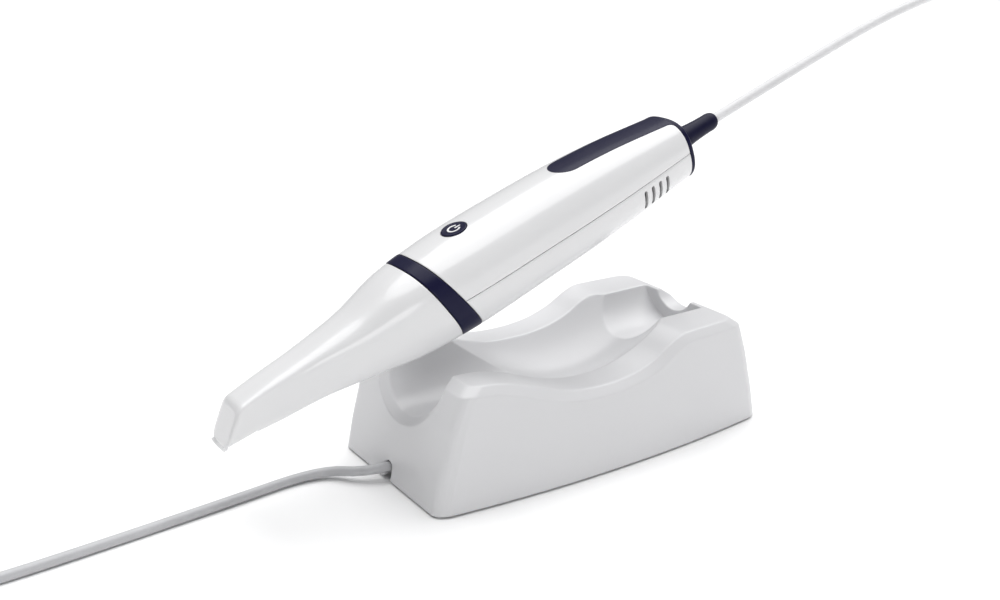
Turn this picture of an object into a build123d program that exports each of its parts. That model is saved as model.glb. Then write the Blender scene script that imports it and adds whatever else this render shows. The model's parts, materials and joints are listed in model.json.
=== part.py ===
"""Intraoral camera: a scanning handpiece with its desk cradle.

Millimetres, +Z up.  The origin is the centre of the cradle's footprint, on the table.
-X is the end that the scanning tip points to, +X is the cable end of the handpiece.
The handpiece is drawn along its own axis first (u along it towards the cable, v up) and
then placed, lifted and pitched, over the cradle.
"""
import math
import os

from build123d import *

os.makedirs("parts", exist_ok=True)

# ---- driving dimensions: cradle -----------------------------------------------------
CRADLE_LENGTH = 150.0
CRADLE_END_WIDTH = 68.7
CRADLE_HEIGHT = 44.5
SIDE_BOW = 5.0            # how far each long side bows out at mid length
TOP_BOW = 2.3             # the same at the top edge
END_DRAFT = 13.5          # how far each end leans in by the top
WALL = 3.0                # cradle wall
FOOT_GAP = 0.8            # the shell stands this far above the table, on its rubber pad
CORNER_CHAMFER = 4.0

SADDLE_X = -5.0           # lowest point of the rim and of the trough
RIM_LOW = 33.4
RIM_RADIUS = 80.0
TROUGH_FLOOR = 24.0
TROUGH_BEND = 67.0        # radius of the trough floor seen from the side
TROUGH_SECTION = 31.0     # radius of the trough seen along its length
TROUGH_FRONT = -51.0
CHANNEL_RADIUS = 20.0     # U channel in the front wall, round the scanning tip's root
CHANNEL_Z = 44.6
CHANNEL_BACK = -18.0     # it runs out into the trough's floor here
POCKET_RADIUS = 18.0      # seat for the rear of the handpiece
POCKET_Z = 51.0
POCKET_FRONT = 20.0
POCKET_BACK = 57.5
BOOT_NOTCH_RADIUS = 11.3
BOOT_NOTCH_Z = 49.8
CAVITY_TOP = 19.0
PLATE_THICK = 2.0
PAD_THICK = 1.6
CABLE_DOOR = (5.0, 7.6)   # width and height of the arched cable opening
CABLE_DOOR_Y = 0.8

# ---- driving dimensions: handpiece --------------------------------------------------
PITCH = 20.0
AXIS_ORIGIN = (-46.1, 0.0, 70.6)
SHELL_WALL = 2.0
TIP_WALL = 1.6
TIP_GAP = 0.2             # between the tip's rear edge and the ring band
SEAM_V = 0.6
RING_REAR = (-6.0, 0.40)   # u at v = 0, and how much further forward per mm of height
RING_FRONT = (-12.9, 0.31)
SHELL_END = 104.0
CAP_END = 110.0
BOOT_END = 128.0
TIP_FACE = (-91.8, -0.92)   # the tip's front face, which leans forward below
TIP_WINDOW = (-94.0, -84.6)  # from u, to u
TIP_RIM_V = -5.7            # the side walls end here beside the window
BUTTON_U = 6.7
BUTTON_RADIUS = 4.75
BUTTON_TRAVEL = 0.5
INLAY = (50.3, SHELL_END, 6.8)   # from u, to u, half width
VENT_FIRST, VENT_PITCH, VENTS = 76.9, 3.95, 4
FAN_U, FAN_V, FAN_THICK, FAN_RADIUS = 76.0, -2.9, 6.5, 8.8

# ---- driving dimensions: cords ------------------------------------------------------
HANDPIECE_CABLE = 4.0      # diameters
DOCK_CABLE = 3.6

# Cross-sections of the handpiece: u, half width, top, bottom, squareness above and below.
BODY = [
    (-24.0, 16.1, 14.4, -16.2, 2.8, 2.3),
    (-8.0, 17.8, 16.3, -17.3, 2.7, 2.2),
    (30.0, 18.1, 17.2, -16.7, 2.7, 2.2),
    (70.0, 16.7, 15.9, -15.2, 2.7, 2.3),
    (106.0, 13.2, 12.1, -12.5, 2.7, 2.5),
]
TIP = [
    (-99.0, 6.7, 3.9, -6.1, 5.2, 5.0),
    (-88.0, 7.0, 4.75, -6.8, 5.0, 4.8),
    (-77.0, 7.6, 6.0, -8.1, 4.5, 4.2),
    (-60.0, 8.9, 7.4, -9.7, 3.8, 3.4),
    (-42.0, 12.1, 9.9, -13.1, 2.9, 2.5),
    (-24.0, 16.1, 14.4, -16.2, 2.8, 2.3),
    (-8.0, 17.8, 16.3, -17.3, 2.7, 2.2),
]


def save(name, shape):
    """Write one node."""
    shape.label = name
    export_step(shape, f"parts/{name}.step")


def box(x0, x1, y0, y1, z0, z1):
    """A box from its low and high corners."""
    return Pos((x0 + x1) / 2, (y0 + y1) / 2, (z0 + z1) / 2) * Box(x1 - x0, y1 - y0, z1 - z0)


def rod(radius, u0, u1, v=0.0, y=0.0):
    """A cylinder along u, from u0 to u1."""
    return Pos((u0 + u1) / 2, y, v) * Rot(0, 90, 0) * Cylinder(radius, u1 - u0)


def post(radius, x, y, z0, z1):
    """An upright cylinder, from z0 to z1."""
    return Pos(x, y, (z0 + z1) / 2) * Cylinder(radius, z1 - z0)


def group(shapes):
    """Separate solids of one node."""
    return Compound(children=list(shapes))


# ---- handpiece sections -------------------------------------------------------------
def section(station, inset=0.0, points=12):
    """One closed cross-section: a superellipse, squarer above than below."""
    u, half, top, bottom, square_top, square_bottom = station
    ring = []
    for i in range(points):
        angle = 2 * math.pi * i / points
        c, s = math.cos(angle), math.sin(angle)
        square = square_top if s > 0 else square_bottom
        height = top - inset if s > 0 else -bottom - inset
        y = (half - inset) * math.copysign(abs(c) ** (2 / square), c)
        v = height * math.copysign(abs(s) ** (2 / square), s)
        ring.append((u, y, v))
    return Wire([Edge.make_spline([Vector(*p) for p in ring], periodic=True)])


def skin(stations, inset=0.0):
    """The solid through the sections, drawn in by inset."""
    return Solid.make_loft([section(s, inset) for s in stations])


def along(stations, u):
    """The section at u, in line between its neighbours."""
    for a, b in zip(stations, stations[1:]):
        if a[0] <= u <= b[0]:
            t = (u - a[0]) / (b[0] - a[0])
            return tuple(p + t * (q - p) for p, q in zip(a, b))
    raise ValueError(f"no section at {u}")


def slab(low, high):
    """Everything between two slanted planes, each given as (u at v = 0, forward per v)."""
    reach = 60.0
    corners = [
        (low[0] - low[1] * -reach, -reach),
        (high[0] - high[1] * -reach, -reach),
        (high[0] - high[1] * reach, reach),
        (low[0] - low[1] * reach, reach),
    ]
    side = make_face(Polyline(*[(u, 0, v) for u, v in corners], close=True))
    return extrude(side, 40, dir=(0, 1, 0), both=True)


def in_hand(shape):
    """Place a shape drawn along the handpiece's own axis."""
    return Location(AXIS_ORIGIN, (0, -PITCH, 0)) * shape


def hand_point(u, y, v):
    """A point of the handpiece's own axes, in the part's frame."""
    a = math.radians(PITCH)
    return (
        AXIS_ORIGIN[0] + u * math.cos(a) - v * math.sin(a),
        y,
        AXIS_ORIGIN[2] + u * math.sin(a) + v * math.cos(a),
    )


# ---- handpiece: outer pieces --------------------------------------------------------
def inlay_solid(clearance=0.0):
    """The dark strip let into the top shell: round in front, running into the cap."""
    u0, u1, half = INLAY
    half = half + clearance
    outline = Rectangle(u1 - u0 - half, 2 * half)
    strip = Pos((u0 + half + u1) / 2, 0) * outline + Pos(u0 + half, 0) * Circle(half)
    return extrude(strip, 30)


def handpiece_shells():
    """Upper and lower shell, dark ring band, top inlay."""
    outer, inner = skin(BODY), skin(BODY, SHELL_WALL)
    tube = (outer - inner) & slab(RING_REAR, (SHELL_END, 0.0))
    upper = tube & box(-60, 120, -30, 30, SEAM_V, 40)
    lower = tube & box(-60, 120, -30, 30, -40, SEAM_V)

    recess = skin(BODY, 0.7)
    inlay = ((outer - recess) & inlay_solid()) & box(40, SHELL_END, -20, 20, 0, 40)
    upper -= (outer - skin(BODY, 0.75)) & inlay_solid(0.05)
    upper -= post(BUTTON_RADIUS + 0.15, BUTTON_U, 0, 5, 30)

    for i in range(VENTS):
        u = VENT_FIRST + i * VENT_PITCH
        for side in (-1, 1):
            slot = box(u - 0.65, u + 0.65, side * 16 - 8, side * 16 + 8, -8.6, -2.4)
            slot += Pos(u, side * 16, -8.6) * Rot(90, 0, 0) * Cylinder(0.65, 16)
            slot += Pos(u, side * 16, -2.4) * Rot(90, 0, 0) * Cylinder(0.65, 16)
            lower -= slot
    for u, y in SCREWS:
        lower -= post(1.9, u, y, -30, screw_seat(u))
        lower -= post(1.05, u, y, -30, -5)

    band = (outer - inner) & slab(RING_FRONT, RING_REAR)
    return upper, lower, band, inlay


SCREWS = [(14.0, 0.0), (66.0, 0.0)]


def screw_seat(u):
    """Height of the screw head's seat, a little inside the lower skin."""
    return along(BODY, u)[3] + 1.1


def case_screws():
    """Cross-head screws that hold the shells and the chassis together."""
    screws = []
    for u, y in SCREWS:
        seat = screw_seat(u)
        head = post(1.75, u, y, seat - 1.0, seat)
        shank = post(0.9, u, y, seat - 0.2, -9.7)
        cross = box(u - 0.9, u + 0.9, y - 0.2, y + 0.2, seat - 1.0, seat - 0.55)
        cross += box(u - 0.2, u + 0.2, y - 0.9, y + 0.9, seat - 1.0, seat - 0.55)
        screws.append(head + shank - cross)
    return group(screws)


def end_cap():
    """Rear cover: a shallow bowl that closes both shells, with a hole for the boot."""
    rim = along(BODY, SHELL_END)
    stations = [rim]
    for u, inset in ((106.6, 0.9), (108.8, 2.9), (CAP_END, 5.6)):
        stations.append((u, rim[1] - inset, rim[2] - inset, rim[3] + inset, rim[4], rim[5]))
    solid = Solid.make_loft([section(s) for s in stations])
    hollow = Solid.make_loft([section(s, SHELL_WALL) for s in stations[:3]])
    return solid - hollow - rod(4.6, 100, 115)


def turned(outline):
    """A solid of revolution about the handpiece's axis, from (u, radius) corners."""
    return revolve(make_face(Polyline(*outline, close=True)), Axis.X, 360)


def strain_relief():
    """Flexible boot: flange inside the cap, waist in its hole, tapered tail outside."""
    flange = rod(6.0, 105.4, 107.2)
    waist = rod(4.5, 107.2, 110.2)
    tail = turned(
        [(110.2, 0), (110.2, 5.1), (113.0, 4.45), (117.0, 3.9), (121.5, 3.5), (126.4, 3.2),
         (127.5, 2.8), (BOOT_END, 2.2), (BOOT_END, 0)]
    )
    return flange + waist + tail


# ---- handpiece: scanning tip --------------------------------------------------------
def scan_tip():
    """Removable hollow tip: closed in front, open underneath at its end, with a front lip."""
    u0, u1 = TIP_WINDOW
    back = (RING_FRONT[0] - TIP_GAP, RING_FRONT[1])
    outer = skin(TIP) & slab(TIP_FACE, back)
    inner = skin(TIP, TIP_WALL) & slab((TIP_FACE[0] + 2.0, TIP_FACE[1]), (0.0, 0.0))
    shell = outer - inner
    shell -= box(u0, u1, -5.0, 5.0, -14.0, -4.6)
    shell -= box(u0 - 1.4, u1, -12.0, 12.0, -14.0, TIP_RIM_V)
    lip = box(u0 - 6.0, u0 - 1.4, -5.0, 5.0, -7.4, -5.6) & slab(TIP_FACE, back)
    return shell + lip


def tip_mirror():
    """The mirror over the window, at 45 degrees, that turns the view downwards."""
    glass = Box(9.4, 7.8, 0.9)
    return Pos(-88.6, 0, -1.1) * Rot(0, -42, 0) * glass


def oval(u, half_width, half_height, v=0.0):
    """Elliptical outline across the axis at u."""
    plane = Plane(origin=(u, 0, v), x_dir=(0, 1, 0), z_dir=(1, 0, 0))
    return plane * Ellipse(half_width, half_height)


def oval_tube(u0, u1, outer0, outer1, thick, v0=0.0, v1=0.0):
    """Tapered elliptical tube: outer half axes at each end, and its wall."""
    solids = []
    for less in (0.0, thick):
        front = oval(u0, outer0[0] - less, outer0[1] - less, v0)
        rear = oval(u1, outer1[0] - less, outer1[1] - less, v1)
        solids.append(loft([front, rear]))
    return solids[0] - solids[1]


SEAL = (-18.6, -17.0)


def tip_collar():
    """The socket that the tip slides on: a close-fitting sleeve with a seal groove."""
    sleeve = oval_tube(-24.0, -9.5, (13.4, 12.6), (15.0, 14.3), 1.8, v0=-0.9, v1=-0.4)
    flange = extrude(oval(-9.5, 15.0, 14.3, -0.4), 6.0, dir=(1, 0, 0)) - rod(10.6, -12, 0)
    groove = extrude(oval(SEAL[0], 20, 20), SEAL[1] - SEAL[0], dir=(1, 0, 0))
    groove -= extrude(oval(SEAL[0], 12.9, 12.2, -0.7), SEAL[1] - SEAL[0], dir=(1, 0, 0))
    return sleeve + flange - groove


def seal_ring():
    """Rubber ring in the collar's groove."""
    return oval_tube(SEAL[0], SEAL[1], (14.2, 13.5), (14.2, 13.5), 1.3, v0=-0.7, v1=-0.7)


# ---- handpiece: optics --------------------------------------------------------------
NECK = [(-58.0, 6.3, -1.2), (-40.0, 7.4, -1.2), (-24.0, 9.6, -0.6), (-9.6, 10.4, 0.0)]


def cone_stack(stations, inset=0.0):
    """A tube through round sections, each given as u, radius and height of its centre."""
    wires = []
    for u, radius, v in stations:
        plane = Plane(origin=(u, 0, v), x_dir=(0, 1, 0), z_dir=(1, 0, 0))
        wires.append(plane * Wire.make_circle(radius - inset))
    return Solid.make_loft(wires)


def optics_neck():
    """The tube that carries the light path into the tip, from the chassis bulkhead."""
    cone = cone_stack(NECK) - cone_stack(NECK, 1.2)
    root = rod(10.4, -9.6, 0.0) - rod(9.2, -10, 0.1)
    return cone + root


def front_window():
    """Sealed glass at the end of the neck."""
    return rod(5.0, -57.6, -56.4, v=-1.2)


def lens_barrel():
    """Turned tube that holds the lenses, screwed into the bulkhead."""
    barrel = rod(8.6, 0.6, 24.0) - rod(7.2, 0, 30)
    return barrel + (rod(7.3, 22.8, 24.0) - rod(5.0, 20, 30))


def lens(u, thick, radius, curve):
    """One lens: a disc with two faces of the given curvature radius."""
    front = Pos(u - thick / 2 + curve, 0, 0) * Sphere(curve)
    back = Pos(u + thick / 2 - curve, 0, 0) * Sphere(curve)
    return rod(radius, u - thick, u + thick) & front & back


def lenses():
    """The three lenses in the barrel."""
    return group([lens(4.4, 4.0, 7.1, 22.0), lens(11.5, 3.4, 7.1, 30.0), lens(19.0, 4.2, 7.1, 20.0)])


def lens_spacers():
    """Rings that keep the lenses apart."""
    return group([rod(7.15, 6.9, 9.4) - rod(6.2, 5, 12), rod(7.15, 13.6, 16.4) - rod(6.2, 12, 18)])


def beam_splitter():
    """Cube of two prisms behind the barrel."""
    return box(27.0, 38.0, -5.5, 5.5, -5.5, 5.5)


def pattern_projector():
    """Light source that throws the pattern through the cube, with its fins."""
    body = box(27.5, 37.5, -5.0, 5.0, 6.2, 11.0)
    for i in range(4):
        u = 28.2 + i * 2.4
        body += box(u, u + 1.2, -4.6, 4.6, 11.0, 13.4)
    return body


def camera_board():
    """Sensor board across the axis behind the cube, with its sensor."""
    board = box(44.0, 45.4, -9.0, 9.0, -8.6, 8.4)
    sensor = box(42.6, 44.0, -5.0, 5.0, -5.0, 5.0)
    shield = box(45.4, 47.2, -6.0, 6.0, -5.0, 5.0)
    return board + sensor + shield


# ---- handpiece: chassis and electronics ---------------------------------------------
def optical_chassis():
    """Cast tray with a bulkhead in front; everything inside the handpiece bolts to it."""
    tray = box(0.0, 73.0, -7.0, 7.0, -11.4, -9.6) + box(0.0, 42.0, -10.4, 10.4, -9.6, -8.9)
    for side in (-1, 1):
        tray += box(0.0, 42.0, side * 9.8 - 0.6, side * 9.8 + 0.6, -8.9, -5.0)
    bulkhead = extrude(oval(0.0, 14.6, 12.2, -0.8), 2.6, dir=(1, 0, 0)) - rod(9.3, -5, 5)
    barrel_ring = rod(10.6, 2.6, 5.0) - rod(8.65, -1, 6)
    barrel_ring -= box(0, 6, -12, 12, 9.2, 12)
    lip = rod(10.6, 0.6, 2.6) - rod(8.65, -1, 6)
    saddle = box(26.5, 38.5, -7.0, 7.0, -8.9, -5.5)
    stand = box(47.2, 49.0, -7.0, 7.0, -9.6, -6.0)
    chassis = tray + bulkhead + lip + barrel_ring + saddle + stand
    for u, y in SCREWS:
        chassis -= post(0.95, u, y, -20, -9.0)
    return chassis


def main_board():
    """Long circuit board in the rear of the handpiece, with its chips."""
    board = box(50.5, 96.0, -8.0, 8.0, 6.0, 7.4)
    board += box(54.0, 64.0, -5.0, 5.0, 7.4, 8.6)
    board += box(68.0, 73.0, -6.0, -1.0, 7.4, 8.4)
    board += box(68.0, 73.0, 1.5, 6.5, 7.4, 8.4)
    return board


def heat_sink():
    """Finned block between the tray and the main board, ahead of the fan."""
    block = box(51.0, 71.0, -8.6, 8.6, -9.6, -7.0)
    for i in range(7):
        y = -8.0 + i * 2.5
        block += box(51.0, 71.0, y, y + 1.0, -7.0, 4.4)
    return block


def fan_frame():
    """Round fan housing with two screw ears, a four-armed spider and the rotor's pin."""
    u0, u1 = FAN_U, FAN_U + FAN_THICK
    frame = rod(FAN_RADIUS, u0, u1, v=FAN_V)
    for side in (-1, 1):
        ear = box(u0 + 2.0, u0 + 4.0, side * 9.6 - 1.6, side * 9.6 + 1.6, FAN_V - 1.8, FAN_V + 1.8)
        frame += ear - rod(0.8, u0, u1, v=FAN_V, y=side * 9.9)
    frame -= rod(FAN_RADIUS - 0.9, u0 - 1, u1 + 1, v=FAN_V)
    spider = box(u1 - 1.0, u1, -8.2, 8.2, FAN_V - 0.6, FAN_V + 0.6)
    spider += box(u1 - 1.0, u1, -0.6, 0.6, FAN_V - 8.2, FAN_V + 8.2)
    spider += rod(3.4, u1 - 1.0, u1, v=FAN_V)
    spider += rod(0.8, u0 + 0.8, u1, v=FAN_V)
    return frame + spider


def fan_rotor():
    """Hub with seven pitched blades, turning on the frame's pin."""
    u0, u1 = FAN_U + 0.6, FAN_U + FAN_THICK - 1.4
    rotor = rod(3.5, u0, u1, v=FAN_V)
    for i in range(7):
        blade = Pos(0, 0, 5.3) * Rot(0, 0, 38) * Box(4.4, 0.7, 4.4)
        rotor += Pos((u0 + u1) / 2, 0, FAN_V) * Rot(360 / 7 * i, 0, 0) * blade
    return rotor - rod(0.85, u0 - 1, u1 + 1, v=FAN_V)


def board_connector():
    """Socket at the rear of the main board that takes the cable's wires."""
    return box(90.0, 95.6, -5.0, 5.0, 2.2, 6.0) - box(91.0, 96.0, -4.2, 4.2, 3.0, 5.2)


def cable_core():
    """The cable's stripped end, from the boot to the board socket."""
    core = Wire(
        [
            Edge.make_line((105.4, 0, 0), (102.5, 0, 0)),
            Edge.make_spline(
                [Vector(102.5, 0, 0), Vector(99.8, 0, 1.3), Vector(97.2, 0, 3.4)],
                tangents=[Vector(-1, 0, 0), Vector(-0.8, 0, 0.6)],
            ),
        ]
    )
    ring = Plane(origin=(105.4, 0, 0), z_dir=(-1, 0, 0)) * Circle(1.2)
    return sweep(ring, path=core)


def sensor_ribbon():
    """Flat flexible lead from the sensor board up to the main board."""
    path = Polyline((47.2, 0, 4.6), (48.6, 0, 4.6), (49.4, 0, 5.3), (49.4, 0, 6.4), (50.5, 0, 6.4))
    strip = make_face(offset_line(path, 0.15))
    return extrude(strip, 4.0, dir=(0, 1, 0), both=True)


def offset_line(path, half):
    """Closed outline half wide on each side of a polyline in the u-v plane."""
    points = [tuple(v) for v in path.vertices()]
    left, right = [], []
    for i, (u, _, v) in enumerate(points):
        before = points[max(i - 1, 0)]
        after = points[min(i + 1, len(points) - 1)]
        du, dv = after[0] - before[0], after[2] - before[2]
        size = math.hypot(du, dv)
        left.append((u - dv / size * half, 0, v + du / size * half))
        right.append((u + dv / size * half, 0, v - du / size * half))
    return Polyline(*left, *reversed(right), close=True)


# ---- handpiece: power button --------------------------------------------------------
def power_button():
    """Round cap with an inner flange and a stem over the switch; it moves along v."""
    top = along(BODY, BUTTON_U)[2] + 0.15
    cap = post(BUTTON_RADIUS, BUTTON_U, 0, 13.6, top)
    cap = fillet(cap.edges().group_by(Axis.Z)[-1], 0.35)
    cap += post(BUTTON_RADIUS + 0.9, BUTTON_U, 0, 12.9, 13.7)
    return cap + post(1.2, BUTTON_U, 0, 12.0, 13.0)


def power_icon():
    """Generic power sign let into the button's face: an open ring and a bar."""
    top = along(BODY, BUTTON_U)[2] + 0.15
    ring = post(2.5, BUTTON_U, 0, top, top + 0.06) - post(2.05, BUTTON_U, 0, top - 1, top + 1)
    ring -= box(BUTTON_U, BUTTON_U + 4, -0.7, 0.7, top - 1, top + 1)
    return group([ring, box(BUTTON_U + 0.5, BUTTON_U + 3.0, -0.25, 0.25, top, top + 0.06)])


def button_switch():
    """Tact switch on its small board, held by the chassis."""
    board = box(3.0, 13.5, -5.0, 5.0, 9.2, 10.0)
    can = box(BUTTON_U - 3.0, BUTTON_U + 3.0, -3.0, 3.0, 10.0, 11.0)
    plunger = post(1.5, BUTTON_U, 0, 11.0, 11.4)
    return board + can + plunger


# ---- cradle -------------------------------------------------------------------------
def bowed_plan(half_length, half_width, bow):
    """Outline of the cradle at one level: straight ends, long sides bowed outwards."""
    corners = [(-half_length, -half_width), (half_length, -half_width)]
    near = ThreePointArc(corners[0], (0, -half_width - bow), corners[1])
    far = ThreePointArc((half_length, half_width), (0, half_width + bow), (-half_length, half_width))
    ends = [Line((half_length, -half_width), (half_length, half_width)),
            Line((-half_length, half_width), (-half_length, -half_width))]
    return Wire([near.edge(), ends[0].edge(), far.edge(), ends[1].edge()])


def cradle_block():
    """The cradle's outside, with chamfered upright corners."""
    half, top = CRADLE_LENGTH / 2, CRADLE_LENGTH / 2 - END_DRAFT
    width = CRADLE_END_WIDTH / 2
    foot = bowed_plan(half + 5, width, SIDE_BOW)
    crown = bowed_plan(half + 5, width - 0.3, TOP_BOW).moved(Pos(0, 0, CRADLE_HEIGHT))
    block = Solid.make_loft([foot, crown])
    ends = Wire(
        [
            Line((-half, 0, 0), (half, 0, 0)).edge(),
            ThreePointArc((half, 0, 0), (half - 4.9, 0, CRADLE_HEIGHT * 0.5), (top, 0, CRADLE_HEIGHT)).edge(),
            Line((top, 0, CRADLE_HEIGHT), (-top, 0, CRADLE_HEIGHT)).edge(),
            ThreePointArc((-top, 0, CRADLE_HEIGHT), (-half + 4.9, 0, CRADLE_HEIGHT * 0.5), (-half, 0, 0)).edge(),
        ]
    )
    block &= extrude(make_face(ends), 60, dir=(0, 1, 0), both=True)
    middles = [(edge, edge.center()) for edge in block.edges()]
    upright = [e for e, m in middles if abs(m.X) > 60 and abs(m.Y) > 30 and 10 < m.Z < 35]
    return chamfer(upright, CORNER_CHAMFER)


def rim_cutter():
    """What is cut off the top in side view: the saddle between the four high corners."""
    return Pos(SADDLE_X, 0, RIM_LOW + RIM_RADIUS) * Rot(90, 0, 0) * Cylinder(RIM_RADIUS, 120)


def trough_cutter():
    """The long hollow under the handpiece: a ring section, low in the middle."""
    tube_centre = TROUGH_FLOOR + TROUGH_SECTION
    bend = TROUGH_BEND - TROUGH_SECTION
    ring = Pos(SADDLE_X, 0, tube_centre + bend) * Rot(90, 0, 0) * Torus(bend, TROUGH_SECTION)
    return ring & box(TROUGH_FRONT, 90, -60, 60, 0, tube_centre + bend)


def seats():
    """Front channel, rear pocket and the notch for the boot, all along X."""
    channel = rod(CHANNEL_RADIUS, -100, CHANNEL_BACK, v=CHANNEL_Z)
    channel += box(-100, -40, -CHANNEL_RADIUS, CHANNEL_RADIUS, CHANNEL_Z, 70)
    middle = (POCKET_FRONT + POCKET_BACK) / 2
    pocket = Pos(middle, 0, POCKET_Z) * Rot(0, 90, 0) * Cylinder(POCKET_RADIUS, POCKET_BACK - POCKET_FRONT)
    notch = Pos(65, 0, BOOT_NOTCH_Z) * Rot(0, 90, 0) * Cylinder(BOOT_NOTCH_RADIUS, 40)
    return channel, pocket, notch


def cradle_cavity():
    """The room underneath for the board, the weight and the base plate."""
    half, width = CRADLE_LENGTH / 2 - WALL - 2.5, CRADLE_END_WIDTH / 2 - WALL
    cavity = extrude(make_face(bowed_plan(half, width, SIDE_BOW)), CAVITY_TOP)
    ends = box(-half + 1.5, half - 1.5, -60, 60, -1, CAVITY_TOP + 1)
    return cavity & ends


def cradle_body():
    """The moulded cradle."""
    body = cradle_block()
    body -= rim_cutter()
    body -= trough_cutter()
    for cut in seats():
        body -= cut
    body -= cradle_cavity()
    body -= cable_door()
    body -= box(-100, 100, -60, 60, -1, FOOT_GAP)
    for x, y in BASE_SCREWS:
        body += post(3.2, x, y, PAD_THICK + PLATE_THICK, CAVITY_TOP + 1) - post(1.2, x, y, 0, CAVITY_TOP - 3)
    return body


def cable_door():
    """Arched opening at the foot of the front wall."""
    wide, high = CABLE_DOOR
    arch = box(-90, -60, CABLE_DOOR_Y - wide / 2, CABLE_DOOR_Y + wide / 2, -1, high - wide / 2)
    crown = Pos(-75, CABLE_DOOR_Y, high - wide / 2) * Rot(0, 90, 0) * Cylinder(wide / 2, 30)
    return arch + crown


BASE_SCREWS = [(x, y) for x in (-56.0, 56.0) for y in (-24.0, 24.0)]


def base_plate():
    """Flat closing plate with screw holes and a cut for the cable."""
    half, width = CRADLE_LENGTH / 2 - WALL - 2.9, CRADLE_END_WIDTH / 2 - WALL - 0.4
    plate = extrude(make_face(bowed_plan(half, width, SIDE_BOW)), PLATE_THICK)
    plate = Pos(0, 0, PAD_THICK) * plate & box(-half + 1.9, half - 1.9, -60, 60, 0, 10)
    for x, y in BASE_SCREWS:
        plate -= post(1.5, x, y, 0, 10)
    return plate - box(-80, -62, CABLE_DOOR_Y - 3, CABLE_DOOR_Y + 3, 0, 10)


def base_pad():
    """One-piece rubber foot under the plate, with holes for the screw heads."""
    half, width = CRADLE_LENGTH / 2 - WALL - 2.9, CRADLE_END_WIDTH / 2 - WALL - 0.4
    pad = extrude(make_face(bowed_plan(half, width, SIDE_BOW)), PAD_THICK)
    pad &= box(-half + 1.9, half - 1.9, -60, 60, -1, 10)
    for x, y in BASE_SCREWS:
        pad -= post(3.0, x, y, -1, 10)
    return pad - box(-80, -62, CABLE_DOOR_Y - 3, CABLE_DOOR_Y + 3, -1, 10)


def base_screws():
    """Pan-head screws that hold the plate to the cradle's bosses."""
    screws = []
    for x, y in BASE_SCREWS:
        head = post(2.6, x, y, 0.4, PAD_THICK)
        screws.append(head + post(1.15, x, y, PAD_THICK, 12.0))
    return group(screws)


def ballast_plate():
    """Steel weight on the base plate, so that the cable doesn't drag the cradle."""
    plate = box(-38, 38, -22, 22, PAD_THICK + PLATE_THICK, PAD_THICK + PLATE_THICK + 5.0)
    return chamfer(plate.edges().filter_by(Axis.Z), 3.0)


def dock_board():
    """Small board on the base plate behind the cable door, with its parts."""
    z = PAD_THICK + PLATE_THICK
    board = box(-59.5, -41.0, -13.0, 15.0, z + 1.5, z + 3.0)
    for x, y in ((-57.5, -11.0), (-57.5, 13.0), (-43.0, -11.0), (-43.0, 13.0)):
        board += post(1.6, x, y, z, z + 1.5)
    board += box(-52.0, -46.0, -6.0, 1.0, z + 3.0, z + 4.2)
    return board + box(-59.5, -55.5, CABLE_DOOR_Y - 2.6, CABLE_DOOR_Y + 2.6, z + 3.0, z + 5.5)


def cable_clamp():
    """Strain relief just inside the door, round the cable, on the plate."""
    half = 5.0
    return box(-66.6, -61.4, CABLE_DOOR_Y - half, CABLE_DOOR_Y + half, PAD_THICK + PLATE_THICK, 8.6)


# ---- cords --------------------------------------------------------------------------
def tube(points, diameter):
    """A cord's free stretch: straight runs joined by arcs as large as the runs allow."""
    radii = []
    for before, here, after in zip(points, points[1:], points[2:]):
        a, b = Vector(*here) - Vector(*before), Vector(*after) - Vector(*here)
        turn = math.radians(a.get_angle(b))
        radii.append(0.45 * min(a.length, b.length) / math.tan(turn / 2))
    path = FilletPolyline(*points, radius=radii)
    start = Plane(origin=points[0], z_dir=Vector(*points[1]) - Vector(*points[0]))
    solid = sweep(start * Circle(diameter / 2), path=path)
    section_area = math.pi * diameter**2 / 4
    print("radii", [round(r, 1) for r in radii], "length", round(path.length, 1),
          "volume ratio", round(solid.volume / (section_area * path.length), 4))
    return solid


def coil(centre, mid_radius, width, height):
    """Outer shape of a coil lying flat: a ring with rounded edges."""
    x, y = centre
    ring = Rectangle(width, height)
    ring = fillet(ring.vertices(), height * 0.35)
    ring = Plane.XZ * Pos(mid_radius, height / 2) * ring
    return Pos(x, y, 0) * revolve(ring, Axis.Z, 360)


HANDPIECE_ROUTE = [
    hand_point(BOOT_END, 0, 0),
    (121.5, 0.0, 131.6),
    (171.0, -0.4, 148.8),
    (216.0, -1.5, 159.0),
    (254.0, -3.0, 152.0),
    (277.0, -5.0, 125.0),
    (288.0, -6.5, 89.0),
    (296.0, -6.0, 54.0),
    (304.0, -5.0, 27.0),
    (308.0, -14.0, 7.0),
]
HANDPIECE_COIL = (331.0, -14.0)
DOCK_ROUTE = [
    (-66.6, 0.8, 5.3),
    (-81.0, 1.6, 4.6),
    (-92.0, 18.4, 1.8),
    (-129.0, 14.6, 1.8),
    (-168.0, 11.2, 1.8),
    (-206.0, 8.7, 1.8),
    (-237.0, 6.5, 1.8),
]
DOCK_COIL = (-240.0, -15.5)
COIL_MID = 22.5
COIL_HEIGHT = 12.0          # of the handpiece cable; the dock cable is thinner
DOCK_COIL_HEIGHT = 10.8


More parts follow.
